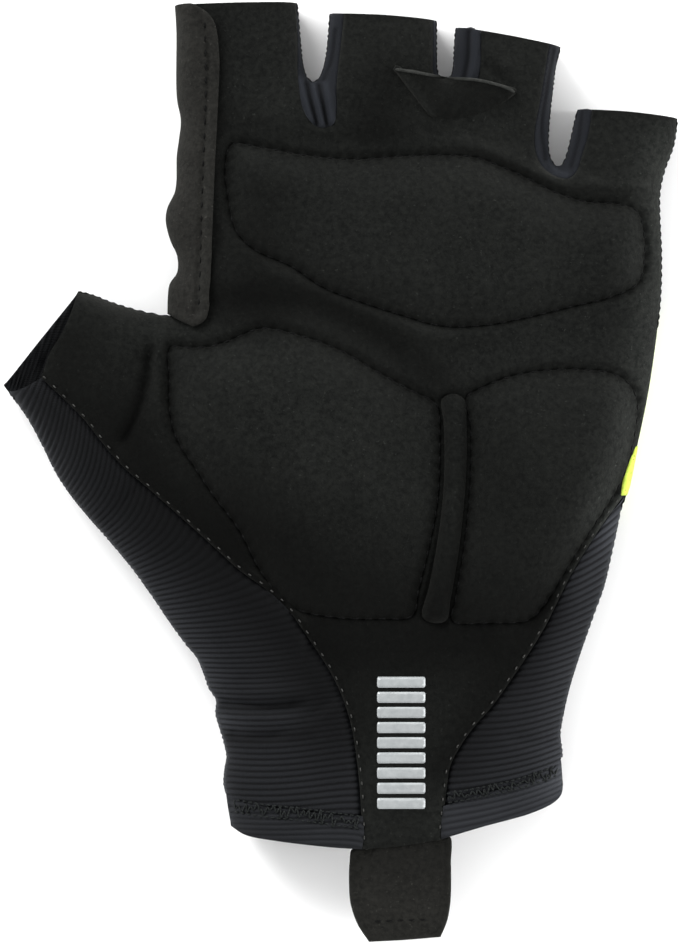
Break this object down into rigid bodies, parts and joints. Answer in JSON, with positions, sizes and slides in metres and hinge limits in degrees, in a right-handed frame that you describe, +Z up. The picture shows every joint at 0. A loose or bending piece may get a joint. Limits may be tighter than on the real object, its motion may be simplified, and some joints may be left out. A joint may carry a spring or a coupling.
{
  "type": "cycling glove",
  "caption": "Fingerless left-hand cycling glove lying palm up, with a padded suede palm, a ribbed stretch back and a wrist pull tab.",
  "frame": {"origin": "middle of the glove's footprint on the surface that it lies on", "axes": "+Z up out of the palm, +Y towards the fingertips, +X towards the little finger, -X towards the thumb"},
  "size_m": [0.1346, 0.1896, 0.0189],
  "materials": {
    "suede": "matt synthetic suede, charcoal black",
    "suede_guard": "brushed synthetic suede, slightly lighter",
    "ribbed_cloth": "ribbed stretch knit, blue-black",
    "stretch_cloth": "smooth stretch knit, blue-black",
    "yellow_cloth": "fluorescent yellow stretch knit"
  },
  "bodies": {
    "root": {"palm_panel": "suede", "back_panel": "ribbed_cloth", "cuff_hem": "ribbed_cloth", "fourchette_index_middle": "stretch_cloth", "fourchette_middle_ring": "stretch_cloth", "fourchette_ring_little": "stretch_cloth", "side_insert": "yellow_cloth", "index_guard": "suede_guard", "knuckle_pad": "suede", "thumb_pad": "suede", "heel_pad": "suede", "palm_rib": "suede", "pull_web": "suede", "wrist_tab": "suede_guard"}
  },
  "joints": []
}
